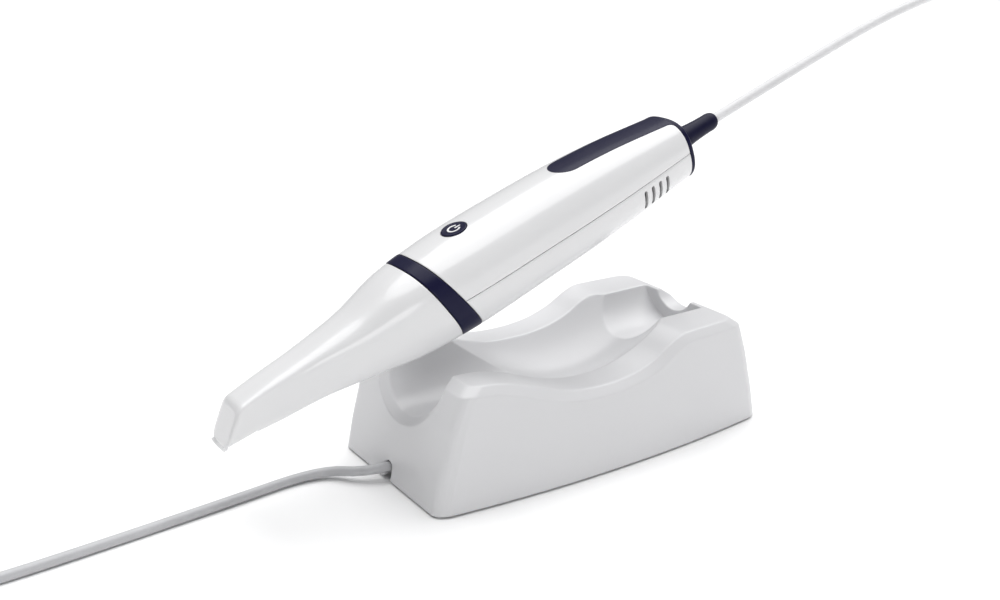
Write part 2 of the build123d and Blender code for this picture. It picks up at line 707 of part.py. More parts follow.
def usb_plug(x, y, z, turn):
    """A plug lying flat: moulded body with a stepped tail, metal shell, tongue."""
    place = Location((x, y, z), (0, 0, turn))
    body = box(8.0, 30.0, -7.8, 7.8, 0.0, 8.0)
    body = fillet(body.edges().filter_by(Axis.X), 1.8)
    for x0, x1, half in ((0.0, 3.0, 2.6), (3.0, 8.0, 3.2)):
        body += Pos((x0 + x1) / 2, 0, 4.0) * Rot(0, 90, 0) * Cylinder(half, x1 - x0)
    shell = box(30.0, 42.0, -6.0, 6.0, 1.75, 6.25) - box(30.0, 43.0, -5.7, 5.7, 2.05, 5.95)
    tongue = box(30.0, 40.6, -5.5, 5.5, 4.0, 5.9)
    return place * body, place * shell, place * tongue


HANDPIECE_PLUG = (351.0, -18.0, COIL_HEIGHT, 90)
DOCK_PLUG = (-260.0, -4.0, DOCK_COIL_HEIGHT, -90)


def main():
    """Build every node."""
    upper, lower, band, inlay = handpiece_shells()
    drawn_on_axis = {
        "upper_shell": upper,
        "lower_shell": lower,
        "ring_band": band,
        "top_inlay": inlay,
        "case_screws": case_screws(),
        "end_cap": end_cap(),
        "strain_relief": strain_relief(),
        "scan_tip": scan_tip(),
        "tip_mirror": tip_mirror(),
        "tip_collar": tip_collar(),
        "seal_ring": seal_ring(),
        "optics_neck": optics_neck(),
        "front_window": front_window(),
        "lens_barrel": lens_barrel(),
        "lenses": lenses(),
        "lens_spacers": lens_spacers(),
        "beam_splitter": beam_splitter(),
        "pattern_projector": pattern_projector(),
        "camera_board": camera_board(),
        "optical_chassis": optical_chassis(),
        "main_board": main_board(),
        "heat_sink": heat_sink(),
        "fan_frame": fan_frame(),
        "fan_rotor": fan_rotor(),
        "board_connector": board_connector(),
        "cable_core": cable_core(),
        "sensor_ribbon": sensor_ribbon(),
        "power_button": power_button(),
        "power_icon": power_icon(),
        "button_switch": button_switch(),
    }
    for name, shape in drawn_on_axis.items():
        save(name, in_hand(shape))
    on_table = {
        "cradle_body": cradle_body(),
        "base_plate": base_plate(),
        "base_pad": base_pad(),
        "base_screws": base_screws(),
        "ballast_plate": ballast_plate(),
        "dock_board": dock_board(),
        "cable_clamp": cable_clamp(),
        "handpiece_cable": tube(HANDPIECE_ROUTE, HANDPIECE_CABLE),
        "handpiece_cable_coil": coil(HANDPIECE_COIL, COIL_MID, 16.0, COIL_HEIGHT),
        "dock_cable": tube(DOCK_ROUTE, DOCK_CABLE),
        "dock_cable_coil": coil(DOCK_COIL, COIL_MID - 1.5, 14.0, DOCK_COIL_HEIGHT),
    }
    for cord, plug in (("handpiece", HANDPIECE_PLUG), ("dock", DOCK_PLUG)):
        for piece, shape in zip(("plug_body", "plug_shell", "plug_tongue"), usb_plug(*plug)):
            on_table[f"{cord}_{piece}"] = shape
    for name, shape in on_table.items():
        save(name, shape)


main()
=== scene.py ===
"""Looks of the intraoral camera and its desk cradle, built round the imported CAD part.

The handpiece is drawn along its own axis (u towards the cable, v up) from one table of
cross-sections, and the cradle from its plan, its side view and a few cutters.  All sizes
are in millimetres until a mesh is made; the meshes are in metres, in the part's frame.
"""

import json
import math

import bmesh
import bpy
import numpy as np
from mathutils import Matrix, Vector


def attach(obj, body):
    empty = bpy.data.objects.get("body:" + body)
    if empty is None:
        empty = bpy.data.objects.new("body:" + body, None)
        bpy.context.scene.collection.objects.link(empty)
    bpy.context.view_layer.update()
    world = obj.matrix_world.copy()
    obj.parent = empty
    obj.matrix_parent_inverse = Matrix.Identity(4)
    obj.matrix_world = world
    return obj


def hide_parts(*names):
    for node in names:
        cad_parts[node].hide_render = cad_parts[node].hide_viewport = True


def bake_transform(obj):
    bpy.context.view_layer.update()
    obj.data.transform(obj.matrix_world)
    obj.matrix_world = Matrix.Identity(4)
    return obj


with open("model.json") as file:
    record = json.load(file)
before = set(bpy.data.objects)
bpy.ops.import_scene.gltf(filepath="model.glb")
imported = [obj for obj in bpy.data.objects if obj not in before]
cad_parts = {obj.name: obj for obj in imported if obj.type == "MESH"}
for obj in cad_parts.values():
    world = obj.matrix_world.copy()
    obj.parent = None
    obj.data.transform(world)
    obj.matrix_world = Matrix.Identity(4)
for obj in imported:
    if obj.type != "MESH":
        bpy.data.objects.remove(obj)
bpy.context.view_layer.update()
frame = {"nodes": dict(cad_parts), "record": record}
NODES = frame["nodes"]
MM = 0.001

# ---- handpiece ----------------------------------------------------------------------
PITCH = math.radians(20.0)
AXIS_ORIGIN = (-46.1, 0.0, 70.6)
SEAM_V = 0.6
RING_REAR = (-6.0, 0.40)    # u at v = 0, and how much further forward per mm of height
RING_FRONT = (-12.9, 0.31)
SHELL_END = 102.6
CAP_END = 106.0
TIP_FACE = (-91.8, -0.92)   # the tip's front face, which leans forward below
TIP_WINDOW = (-94.0, -84.6)
TIP_RIM_V = -5.7            # the side walls end here beside the window
BUTTON_U = 6.7
BUTTON_RADIUS = 4.75
INLAY_FRONT, INLAY_HALF = 50.3, 6.8
VENTS_U = [76.9 + 3.95 * i for i in range(4)]
WALL = 1.2                  # thickness of the shells and the ring
TIP_WALL = 1.6
GAP = 0.13                  # half the width of a parting line
VENT_HALF_WIDTH, VENT_LOW, VENT_HIGH = 0.8, -8.6, -2.4
BUTTON_ROOT = 12.9          # height where the button's side ends inside the shell

# u, half width, top, bottom, squareness above and below
FORM = np.array(
    [
        (-99.0, 6.7, 3.9, -6.1, 5.6, 5.2),
        (-88.0, 7.0, 4.75, -6.8, 5.4, 5.0),
        (-77.0, 7.6, 6.0, -8.1, 4.8, 4.4),
        (-60.0, 8.9, 7.4, -9.7, 3.9, 3.5),
        (-42.0, 12.1, 9.9, -13.1, 2.9, 2.5),
        (-24.0, 16.1, 14.4, -16.2, 2.8, 2.3),
        (-8.0, 17.8, 16.3, -17.3, 2.7, 2.2),
        (30.0, 18.1, 17.2, -16.7, 2.7, 2.2),
        (70.0, 16.7, 15.9, -15.2, 2.7, 2.3),
        (106.0, 13.2, 12.1, -12.5, 2.7, 2.5),
    ]
)

# ---- cradle -------------------------------------------------------------------------
FOOT = 0.8
RIM_TOP = 44.4
BAND_HIGH, BAND_DEEP = 3.0, 2.0
END_PROFILE = np.array([(0.0, 75.0), (13.0, 72.3), (30.0, 67.7), (42.5, 63.2), (44.5, 61.4)])
SADDLE = np.array(
    [
        (-58.0, 44.4), (-50.0, 43.8), (-41.0, 41.6), (-33.5, 38.9), (-25.0, 36.0),
        (-16.0, 33.9), (-7.0, 33.2), (2.0, 33.4), (11.0, 34.8), (20.5, 38.2),
        (28.0, 42.4), (33.0, 44.2), (37.0, 44.4),
    ]
)
END_WIDTH, SIDE_BOW, TOP_BOW = 68.7, 5.0, 2.3
CORNER = 4.5
TROUGH = (-5.0, 91.0, 36.0, 31.0)   # bend centre x and z, its radius, section radius
TROUGH_FRONT = -51.0
CHANNEL = (-100.0, -18.0, 44.6, 20.0)
POCKET = (20.0, 57.5, 51.0, 18.0)
NOTCH = (57.0, 80.0, 49.8, 11.3)

# ---- cords --------------------------------------------------------------------------
HANDPIECE_ROUTE = [
    (0.0742, 0.0, 0.1144), (0.1215, 0.0, 0.1316), (0.171, -0.0004, 0.1488),
    (0.216, -0.0015, 0.159), (0.254, -0.003, 0.152), (0.277, -0.005, 0.125),
    (0.288, -0.0065, 0.089), (0.296, -0.006, 0.054), (0.2995, -0.006, 0.027),
]
DOCK_ROUTE = [
    (-0.0666, 0.0008, 0.0053), (-0.081, 0.0016, 0.0046), (-0.092, 0.0184, 0.0018),
    (-0.129, 0.0146, 0.0018), (-0.168, 0.0112, 0.0018), (-0.206, 0.0087, 0.0018),
    (-0.224, 0.0104, 0.0018),
]


# =====================================================================================
# Materials
# =====================================================================================
def new_material(name):
    """An empty node material with its shader and output."""
    mat = bpy.data.materials.new(name)
    mat.use_nodes = True
    tree = mat.node_tree
    return mat, tree, tree.nodes["Principled BSDF"]


def link(tree, source, target):
    """Join two sockets of a material."""
    tree.links.new(source, target)


def noise(tree, scale, detail=4.0, roughness=0.5, stretch=None):
    """A noise texture in the part's own coordinates."""
    coord = tree.nodes.new("ShaderNodeTexCoord")
    tex = tree.nodes.new("ShaderNodeTexNoise")
    tex.inputs["Scale"].default_value = scale
    tex.inputs["Detail"].default_value = detail
    tex.inputs["Roughness"].default_value = roughness
    if stretch is None:
        link(tree, coord.outputs["Object"], tex.inputs["Vector"])
    else:
        mapping = tree.nodes.new("ShaderNodeMapping")
        mapping.inputs["Scale"].default_value = stretch
        link(tree, coord.outputs["Object"], mapping.inputs["Vector"])
        link(tree, mapping.outputs["Vector"], tex.inputs["Vector"])
    return tex


def ramp(tree, source, low, high, start=0.35, end=0.65):
    """Map a 0 to 1 source between two values or colours."""
    node = tree.nodes.new("ShaderNodeValToRGB")
    node.color_ramp.elements[0].position = start
    node.color_ramp.elements[1].position = end
    for element, value in zip(node.color_ramp.elements, (low, high)):
        colour = value if isinstance(value, tuple) else (value, value, value)
        element.color = (*colour, 1.0)
    link(tree, source, node.inputs["Fac"])
    return node.outputs["Color"]


def bump(tree, shader, source, strength, distance):
    """Add a bump under whatever bump the shader already has."""
    node = tree.nodes.new("ShaderNodeBump")
    node.inputs["Strength"].default_value = strength
    node.inputs["Distance"].default_value = distance
    link(tree, source, node.inputs["Height"])
    if shader.inputs["Normal"].is_linked:
        link(tree, shader.inputs["Normal"].links[0].from_socket, node.inputs["Normal"])
    link(tree, node.outputs["Normal"], shader.inputs["Normal"])


def plastic(name, colour, rough, coat, grain=900.0, depth=0.00002, spread=0.03, shine=0.5):
    """Moulded plastic: slight tone change, uneven gloss and a fine surface grain."""
    mat, tree, shader = new_material(name)
    tone = noise(tree, 18.0, 3.0)
    dark = tuple(c * (1 - spread) for c in colour)
    link(tree, ramp(tree, tone.outputs["Fac"], dark, colour), shader.inputs["Base Color"])
    smear = noise(tree, 60.0, 5.0, 0.6)
    gloss = ramp(tree, smear.outputs["Fac"], rough * 0.85, rough * 1.2, 0.3, 0.7)
    link(tree, gloss, shader.inputs["Roughness"])
    bump(tree, shader, noise(tree, grain, 3.0).outputs["Fac"], 0.15, depth)
    bump(tree, shader, noise(tree, 35.0, 2.0).outputs["Fac"], 0.04, 0.0003)
    shader.inputs["Coat Weight"].default_value = coat
    shader.inputs["Coat Roughness"].default_value = 0.06
    shader.inputs["IOR"].default_value = 1.48
    shader.inputs["Specular IOR Level"].default_value = shine
    return mat


def metal(name, colour, rough, brushed=(1.0, 1.0, 1.0)):
    """Bare or plated metal with fine drawn marks."""
    mat, tree, shader = new_material(name)
    marks = noise(tree, 260.0, 6.0, 0.65, brushed)
    dark = tuple(c * 0.82 for c in colour)
    link(tree, ramp(tree, marks.outputs["Fac"], dark, colour, 0.3, 0.7), shader.inputs["Base Color"])
    link(tree, ramp(tree, marks.outputs["Fac"], rough, rough * 1.6), shader.inputs["Roughness"])
    bump(tree, shader, marks.outputs["Fac"], 0.12, 0.00003)
    shader.inputs["Metallic"].default_value = 1.0
    return mat


def rubber(name, colour, rough, grain=1400.0, shine=0.5):
    """Matt rubber or cable jacket: fine stipple, dusty highlights."""
    mat, tree, shader = new_material(name)
    dust = noise(tree, 90.0, 5.0, 0.7)
    pale = tuple(min(1.0, c * 1.12 + 0.004) for c in colour)
    link(tree, ramp(tree, dust.outputs["Fac"], colour, pale, 0.4, 0.75), shader.inputs["Base Color"])
    link(tree, ramp(tree, dust.outputs["Fac"], rough, rough * 1.15), shader.inputs["Roughness"])
    bump(tree, shader, noise(tree, grain, 2.0).outputs["Fac"], 0.25, 0.00003)
    shader.inputs["Specular IOR Level"].default_value = shine
    return mat


def circuit(name, colour):
    """Solder mask over copper tracks, with pads where the mask is open."""
    mat, tree, shader = new_material(name)
    coord = tree.nodes.new("ShaderNodeTexCoord")
    tracks = tree.nodes.new("ShaderNodeTexBrick")
    tracks.inputs["Scale"].default_value = 420.0
    tracks.inputs["Mortar Size"].default_value = 0.06
    tracks.inputs["Color1"].default_value = (*colour, 1.0)
    tracks.inputs["Color2"].default_value = (*(c * 0.8 for c in colour), 1.0)
    tracks.inputs["Mortar"].default_value = (*(c * 1.9 for c in colour), 1.0)
    link(tree, coord.outputs["Object"], tracks.inputs["Vector"])
    link(tree, tracks.outputs["Color"], shader.inputs["Base Color"])
    bump(tree, shader, tracks.outputs["Fac"], 0.3, 0.00003)
    shader.inputs["Roughness"].default_value = 0.35
    shader.inputs["Coat Weight"].default_value = 0.4
    return mat


def glass(name, tint):
    """Coated optical glass with a faint bloom."""
    mat, tree, shader = new_material(name)
    haze = noise(tree, 40.0, 3.0)
    link(tree, ramp(tree, haze.outputs["Fac"], 0.02, 0.06), shader.inputs["Roughness"])
    shader.inputs["Base Color"].default_value = (*tint, 1.0)
    shader.inputs["Transmission Weight"].default_value = 0.9
    shader.inputs["IOR"].default_value = 1.52
    return mat


def mirror(name):
    """Silvered glass with a trace of smear."""
    mat, tree, shader = new_material(name)
    smear = noise(tree, 120.0, 4.0, 0.6, (1.0, 3.0, 1.0))
    link(tree, ramp(tree, smear.outputs["Fac"], 0.02, 0.08), shader.inputs["Roughness"])
    shader.inputs["Base Color"].default_value = (0.92, 0.93, 0.95, 1.0)
    shader.inputs["Metallic"].default_value = 1.0
    return mat


MATERIALS = {
    "white_shell": plastic("white_shell", (0.78, 0.78, 0.787), 0.22, 0.35, spread=0.012),
    "navy_trim": plastic("navy_trim", (0.009, 0.009, 0.036), 0.32, 0.0, spread=0.12, shine=0.14),
    "cradle_grey": plastic("cradle_grey", (0.70, 0.70, 0.712), 0.34, 0.1, 900.0, 0.000008, 0.015),
    "boot_navy": rubber("boot_navy", (0.007, 0.007, 0.028), 0.42, shine=0.15),
    "cable_white": rubber("cable_white", (0.70, 0.70, 0.71), 0.40),
    "cable_grey": rubber("cable_grey", (0.47, 0.472, 0.485), 0.38),
    "icon_white": plastic("icon_white", (0.86, 0.86, 0.86), 0.45, 0.0),
    "mirror": mirror("mirror"),
    "optical_glass": glass("optical_glass", (0.90, 0.95, 0.96)),
    "black_anodised": metal("black_anodised", (0.05, 0.05, 0.055), 0.38),
    "cast_alloy": metal("cast_alloy", (0.55, 0.56, 0.57), 0.45),
    "fin_alloy": metal("fin_alloy", (0.70, 0.71, 0.72), 0.28, (1.0, 12.0, 1.0)),
    "black_plastic": plastic("black_plastic", (0.028, 0.028, 0.03), 0.5, 0.0, spread=0.2),
    "black_rubber": rubber("black_rubber", (0.022, 0.022, 0.024), 0.7),
    "circuit_board": circuit("circuit_board", (0.02, 0.16, 0.07)),
    "amber_film": plastic("amber_film", (0.60, 0.28, 0.04), 0.3, 0.3, spread=0.1),
    "steel": metal("steel", (0.56, 0.56, 0.56), 0.3, (1.0, 8.0, 1.0)),
    "plug_steel": metal("plug_steel", (0.72, 0.72, 0.73), 0.2, (1.0, 10.0, 1.0)),
    "plug_white": plastic("plug_white", (0.76, 0.76, 0.77), 0.4, 0.0),
    "tongue_white": plastic("tongue_white", (0.84, 0.84, 0.82), 0.5, 0.0),
}


# =====================================================================================
# Mesh helpers
# =====================================================================================
def in_hand(points):
    """Points (u, y, v) in mm of the handpiece's own axes, in metres of the part's frame."""
    p = np.asarray(points, float)
    c, s = math.cos(PITCH), math.sin(PITCH)
    x = AXIS_ORIGIN[0] + p[..., 0] * c - p[..., 2] * s
    z = AXIS_ORIGIN[2] + p[..., 0] * s + p[..., 2] * c
    return np.stack([x, p[..., 1], z], -1) * MM


def make_object(name, points, faces, material, body, sharp=35.0):
    """A smooth-shaded mesh object in the part's frame, riding on its body."""
    mesh = bpy.data.meshes.new(name)
    mesh.from_pydata([tuple(p) for p in points], [], faces)
    tidy = bmesh.new()
    tidy.from_mesh(mesh)
    bmesh.ops.remove_doubles(tidy, verts=tidy.verts, dist=1e-7)
    bmesh.ops.recalc_face_normals(tidy, faces=tidy.faces)
    tidy.to_mesh(mesh)
    tidy.free()
    obj = bpy.data.objects.new(name, mesh)
    bpy.context.scene.collection.objects.link(obj)
    if body is not None:
        dress(obj, material, sharp)
        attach(obj, body)
    return obj


def dress(obj, material, sharp):
    """Give an object its material and smooth shading with crisp edges."""
    obj.data.materials.clear()
    obj.data.materials.append(MATERIALS[material])
    obj.data.shade_smooth()
    obj.data.set_sharp_from_angle(angle=math.radians(sharp))


def grid_faces(rows, columns, closed=False, first=0):
    """Quads of a grid of points stored row by row."""
    faces = []
    for i in range(rows - 1):
        for j in range(columns if closed else columns - 1):
            k = (j + 1) % columns
            a, b = first + i * columns, first + (i + 1) * columns
            faces.append((a + j, a + k, b + k, b + j))
    return faces


def apply_modifiers(obj):
    """Replace an object's mesh by its evaluated one."""
    graph = bpy.context.evaluated_depsgraph_get()
    mesh = bpy.data.meshes.new_from_object(obj.evaluated_get(graph))
    obj.modifiers.clear()
    obj.data = mesh


def cut(obj, cutters):
    """Subtract other objects from obj and remove them."""
    for cutter in cutters:
        modifier = obj.modifiers.new("cut", "BOOLEAN")
        modifier.operation = "DIFFERENCE"
        modifier.solver = "EXACT"
        modifier.object = cutter
    apply_modifiers(obj)
    for cutter in cutters:
        bpy.data.objects.remove(cutter)


def smooth_curve(table, at):
    """Values of each column of a table, on a smooth curve through its rows."""
    x = table[:, 0]
    at = np.clip(np.asarray(at, float), x[0], x[-1])
    slope = np.gradient(table[:, 1:], x, axis=0)
    k = np.clip(np.searchsorted(x, at, side="right") - 1, 0, len(x) - 2)
    h = x[k + 1] - x[k]
    t = ((at - x[k]) / h)[..., None]
    h = h[..., None]
    y0, y1 = table[k, 1:], table[k + 1, 1:]
    m0, m1 = slope[k] * h, slope[k + 1] * h
    return (
        (2 * t**3 - 3 * t**2 + 1) * y0
        + (t**3 - 2 * t**2 + t) * m0
        + (3 * t**2 - 2 * t**3) * y1
        + (t**3 - t**2) * m1
    )


# =====================================================================================
# Handpiece
# =====================================================================================
def skin_points(u, angle, inset):
    """Points of the handpiece's skin, drawn in by inset, at u and angle."""
    half, top, bottom, above, below = np.moveaxis(smooth_curve(FORM, u), -1, 0)
    c, s = np.cos(angle), np.sin(angle)
    square = np.where(s > 0, above, below)
    height = np.where(s > 0, top, -bottom) - inset
    y = (half - inset) * np.sign(c) * np.abs(c) ** (2 / square)
    v = height * np.sign(s) * np.abs(s) ** (2 / square)
    return y, v


def between_planes(front, rear, share, angle, inset):
    """Skin points at a share of the way between two slanted planes."""
    u = np.full_like(angle, front[0] * (1 - share) + rear[0] * share)
    for _ in range(3):
        y, v = skin_points(u, angle, inset)
        start = front[0] - front[1] * v
        end = rear[0] - rear[1] * v
        u = start + share * (end - start)
    return np.stack([u, y, v], -1)


def rounded(length, edge, step):
    """Shares of a length and insets there: close rows that round both its ends."""
    lead = [(0.0, edge), (0.08, edge * 0.45), (0.25, edge * 0.12), (0.55, 0.0)]
    inner = np.linspace(0.9, length - 0.9, max(2, int(length / step)))
    rows = [(d / length, inset) for d, inset in lead]
    rows += [(d / length, 0.0) for d in inner]
    rows += [(1 - d / length, inset) for d, inset in reversed(lead)]
    return rows


def sleeve(name, front, rear, angle, closed, wall, edge, material, body, step=1.5):
    """A closed piece of the handpiece's shell between two slanted planes."""
    length = rear[0] - front[0]
    rows = rounded(length, edge, step)
    side = np.zeros_like(angle)
    if not closed:
        side[[0, -1]], side[[1, -2]] = edge, edge * 0.3
    outer = [between_planes(front, rear, s, angle, np.maximum(i, side)) for s, i in rows]
    inner = [between_planes(front, rear, s, angle, np.full_like(angle, wall)) for s, _ in rows]
    m, n = len(rows), len(angle)
    points = in_hand(np.concatenate(outer + inner))
    faces = grid_faces(m, n, closed) + grid_faces(m, n, closed, m * n)
    for row in (0, (m - 1) * n):
        for j in range(n if closed else n - 1):
            k = (j + 1) % n
            faces.append((row + j, row + k, m * n + row + k, m * n + row + j))
    if not closed:
        for column in (0, n - 1):
            for i in range(m - 1):
                a, b = i * n + column, (i + 1) * n + column
                faces.append((a, b, m * n + b, m * n + a))
    return make_object(name, points, faces, material, body)


def seam_angle(v):
    """The angle at which the skin crosses height v, taken at mid length."""
    _, top, _, above, _ = smooth_curve(FORM, 40.0)
    return math.asin((v / top) ** (above / 2))


def even_angles(start, end, count):
    """Angles spread so that the points along a squarish section are about even."""
    t = np.linspace(start, end, count * 6)
    y, v = skin_points(np.full_like(t, 20.0), t, 0.0)
    run = np.concatenate([[0], np.cumsum(np.hypot(np.diff(y), np.diff(v)))])
    return np.interp(np.linspace(0, run[-1], count), run, t)


def build_shells():
    """The two white shells, parted by a fine line along each side, with vents and button hole."""
    rear = (SHELL_END, 0.0)
    front = (RING_REAR[0] + GAP, RING_REAR[1])
    a = seam_angle(SEAM_V + GAP)
    b = seam_angle(SEAM_V - GAP)
    lead, count, edge = 0.012, 110, 0.22
    upper = even_angles(a + lead, math.pi - a - lead, count)
    upper = np.concatenate([[a], upper, [math.pi - a]])
    lower = even_angles(math.pi - b + lead, 2 * math.pi + b - lead, count)
    lower = np.concatenate([[math.pi - b], lower, [2 * math.pi + b]])
    finish = ("white_shell", "handpiece")
    top = sleeve("upper_shell_skin", front, rear, upper, False, WALL, edge, *finish)
    low = sleeve("lower_shell_skin", front, rear, lower, False, WALL, edge, *finish)
    cut(low, [vent_cutter(u, side) for u in VENTS_U for side in (-1, 1)])
    cut(top, [disc_cutter(BUTTON_U, BUTTON_RADIUS + 0.22, 8.0, 30.0)])
    for piece in (top, low):
        dress(piece, "white_shell", 30.0)
    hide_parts("upper_shell")
    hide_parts("lower_shell")


def prism(name, outline, direction, place):
    """A closed prism: an outline of 3-D points and the vector it is pushed along."""
    near = np.asarray(outline, float)
    far = near + np.asarray(direction, float)
    n = len(near)
    faces = [tuple(range(n)), tuple(range(2 * n - 1, n - 1, -1))]
    faces += [(i, (i + 1) % n, n + (i + 1) % n, n + i) for i in range(n)]
    return make_object(name, place(np.concatenate([near, far])), faces, None, None)


def vent_cutter(u, side):
    """A round-ended upright slot through one flank."""
    half, inside, through = VENT_HALF_WIDTH, 9.0, 14.0
    arc = np.linspace(0, math.pi, 13)
    crown = [(u + half * math.cos(t), VENT_HIGH + half * math.sin(t)) for t in arc]
    foot = [(u - half * math.cos(t), VENT_LOW - half * math.sin(t)) for t in arc]
    outline = [(a, side * inside, v) for a, v in crown + foot]
    return prism("vent_cutter", outline, (0, side * through, 0), in_hand)


def disc_cutter(u, radius, v0, v1):
    """A round cutter upright to the handpiece's axis."""
    arc = np.linspace(0, 2 * math.pi, 72, endpoint=False)
    outline = [(u + radius * math.cos(t), radius * math.sin(t), v0) for t in arc]
    return prism("disc_cutter", outline, (0, 0, v1 - v0), in_hand)


def build_ring():
    """The dark band between tip and body."""
    angles = even_angles(0, 2 * math.pi, 181)[:-1]
    front = (RING_FRONT[0] + GAP, RING_FRONT[1])
    rear = (RING_REAR[0] - GAP, RING_REAR[1])
    edge, step = 0.18, 0.8
    finish = ("navy_trim", "handpiece")
    band = sleeve("ring_band_skin", front, rear, angles, True, WALL, edge, *finish, step)
    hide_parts("ring_band")


def tip_rows(angles):
    """Sections of the tip: over its rounded front, back along the outside, forward inside."""
    nose = ((0.0, 3.4), (0.0, 1.5), (0.05, 1.0), (0.25, 0.55), (0.55, 0.25), (0.95, 0.08))
    nose_length, front_wall, edge, step = 1.6, 2.0, 0.15, 1.5
    u, lean = TIP_FACE
    rear = (RING_FRONT[0] - GAP - 0.1, RING_FRONT[1])
    rows = [between_planes((u + back, lean), rear, 0.0, angles, inset) for back, inset in nose]
    front = (u + nose_length, lean)
    for share, inset in rounded(rear[0] - front[0], edge, step):
        rows.append(between_planes(front, rear, share, angles, inset if share > 0.5 else 0.0))
    hollow = (u + front_wall, lean)
    for share in np.linspace(1, 0, 40):
        rows.append(between_planes(hollow, rear, share, angles, TIP_WALL))
    return rows


def window_cutters():
    """The window's opening under the tip, and the trim of the side walls beside it."""
    u0, u1 = TIP_WINDOW
    half, low, deep, wide = 5.0, -14.0, 9.4, 12.0
    opening = [(u0, -half, low), (u1, -half, low), (u1, half, low), (u0, half, low)]
    trim = [
        (u0 - 1.4, -wide, low),
        (u0 - 1.0, -wide, TIP_RIM_V),
        (u1 - 0.6, -wide, TIP_RIM_V),
        (u1 + 0.6, -wide, low),
    ]
    return [
        prism("window_cutter", opening, (0, 0, deep), in_hand),
        prism("rim_cutter", trim, (0, 2 * wide, 0), in_hand),
    ]


def build_tip():
    """The removable tip: closed in front, with a window underneath for the mirror."""
    angles = even_angles(0, 2 * math.pi, 201)[:-1]
    n = len(angles)
    rows = tip_rows(angles)
    faces = grid_faces(len(rows), n, True)
    faces += [tuple(range(n)), tuple(range((len(rows) - 1) * n, len(rows) * n))]
    skin = in_hand(np.concatenate(rows))
    tip = make_object("scan_tip_skin", skin, faces, "white_shell", "tip")
    cut(tip, window_cutters())
    dress(tip, "white_shell", 30.0)
    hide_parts("scan_tip")


def build_lip():
    """The short guard that hangs from the tip's front edge, just behind its slanted face."""
    low, root, behind = -7.4, -5.4, 0.5
    upper, lower = [(TIP_FACE[0] + behind - TIP_FACE[1] * v, v) for v in (root, low + 0.5)]
    u = lower[0]
    profile = [upper, lower, (u + 0.25, low + 0.12), (u + 0.7, low)]
    profile += [(u + 1.3, low), (u + 1.8, low + 0.3), (upper[0] + 1.6, root)]
    across = [(-4.9, 1.2), (-4.6, 0.45), (-4.0, 0.0), (3.0, 0.0), (4.0, 0.6), (4.6, 1.4)]
    points = []
    for y, rise in across:
        points += [(u, y, min(v + rise, root)) for u, v in profile]
    n = len(profile)
    faces = grid_faces(len(across), n, True)
    faces += [tuple(range(n)), tuple(range((len(across) - 1) * n, len(across) * n))]
    make_object("tip_lip", in_hand(points), faces, "white_shell", "tip")


def top_height(u, y, proud):
    """Height of the upper skin over a point of the plan."""
    half, top, _, above, _ = np.moveaxis(smooth_curve(FORM, u), -1, 0)
    return top * (1 - np.clip(np.abs(y) / half, 0, 0.999) ** above) ** (1 / above) + proud


def build_inlay():
    """The dark strip on the upper shell: round in front, flaring into the cap behind."""
    flare = 2.4
    flare_from = SHELL_END - flare
    u = np.concatenate([
        INLAY_FRONT + INLAY_HALF * (1 - np.cos(np.linspace(0, math.pi / 2, 24))),
        np.linspace(INLAY_FRONT + INLAY_HALF + 0.7, flare_from - 0.5, 40),
        flare_from + flare * np.sin(np.linspace(0.05, math.pi / 2, 14)),
    ])
    nose = np.clip(u - INLAY_FRONT, 0, INLAY_HALF)
    width = np.sqrt(np.maximum(INLAY_HALF**2 - (INLAY_HALF - nose) ** 2, 0.0004))
    past = np.clip(u - flare_from, 0, flare)
    width = width + flare - np.sqrt(np.maximum(flare**2 - past**2, 0.0))
    across = np.concatenate([[-1.0, -1.0], -np.cos(np.linspace(0.12, math.pi - 0.12, 27)), [1.0, 1.0]])
    proud = np.concatenate([[-0.5, 0.0], np.full(27, 0.09), [0.0, -0.5]])
    proud[[2, -3]] = 0.07
    points = [
        (a, w * t, float(top_height(np.array(a), np.array(w * t), h)))
        for a, w in zip(u, width)
        for t, h in zip(across, proud)
    ]
    faces = grid_faces(len(u), len(across))
    strip = make_object("top_inlay_skin", in_hand(points), faces, "navy_trim", "handpiece", 50.0)
    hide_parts("top_inlay")


def build_cap():
    """The dark end cap: a thin rim flush with the shells, rounding to a flat end."""
    angles = even_angles(0, 2 * math.pi, 181)[:-1]
    band, drawn, hole = 0.9, 5.0, 4.4
    depth = CAP_END - SHELL_END - band
    rows = [(0.04, 2.0), (0.04, 0.18), (0.15, 0.03), (0.35, 0.0)]
    for t in np.linspace(0, math.pi / 2, 16):
        rows.append((band + depth * math.sin(t), drawn * (1 - math.cos(t))))
    points = []
    for back, inset in rows:
        u = SHELL_END + back
        y, v = skin_points(np.full(len(angles), SHELL_END), angles, inset)
        points.append(np.stack([np.full(len(angles), u), y, v], -1))
    y, v = points[-1][:, 1], points[-1][:, 2]
    bearing = np.arctan2(v, y)
    ring = [np.full(len(angles), CAP_END), hole * np.cos(bearing), hole * np.sin(bearing)]
    points.append(np.stack(ring, -1))
    faces = grid_faces(len(points), len(angles), True)
    cap = make_object("end_cap_skin", in_hand(np.concatenate(points)), faces, "navy_trim", "handpiece")
    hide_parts("end_cap")


def turned(name, outline, material, body, segments=64):
    """A closed shape turned about the handpiece's axis, from (u, radius) pairs."""
    angle = np.linspace(0, 2 * math.pi, segments, endpoint=False)
    points = [(u, r * math.cos(t), r * math.sin(t)) for u, r in outline for t in angle]
    return make_object(name, in_hand(points), grid_faces(len(outline), segments, True), material, body)


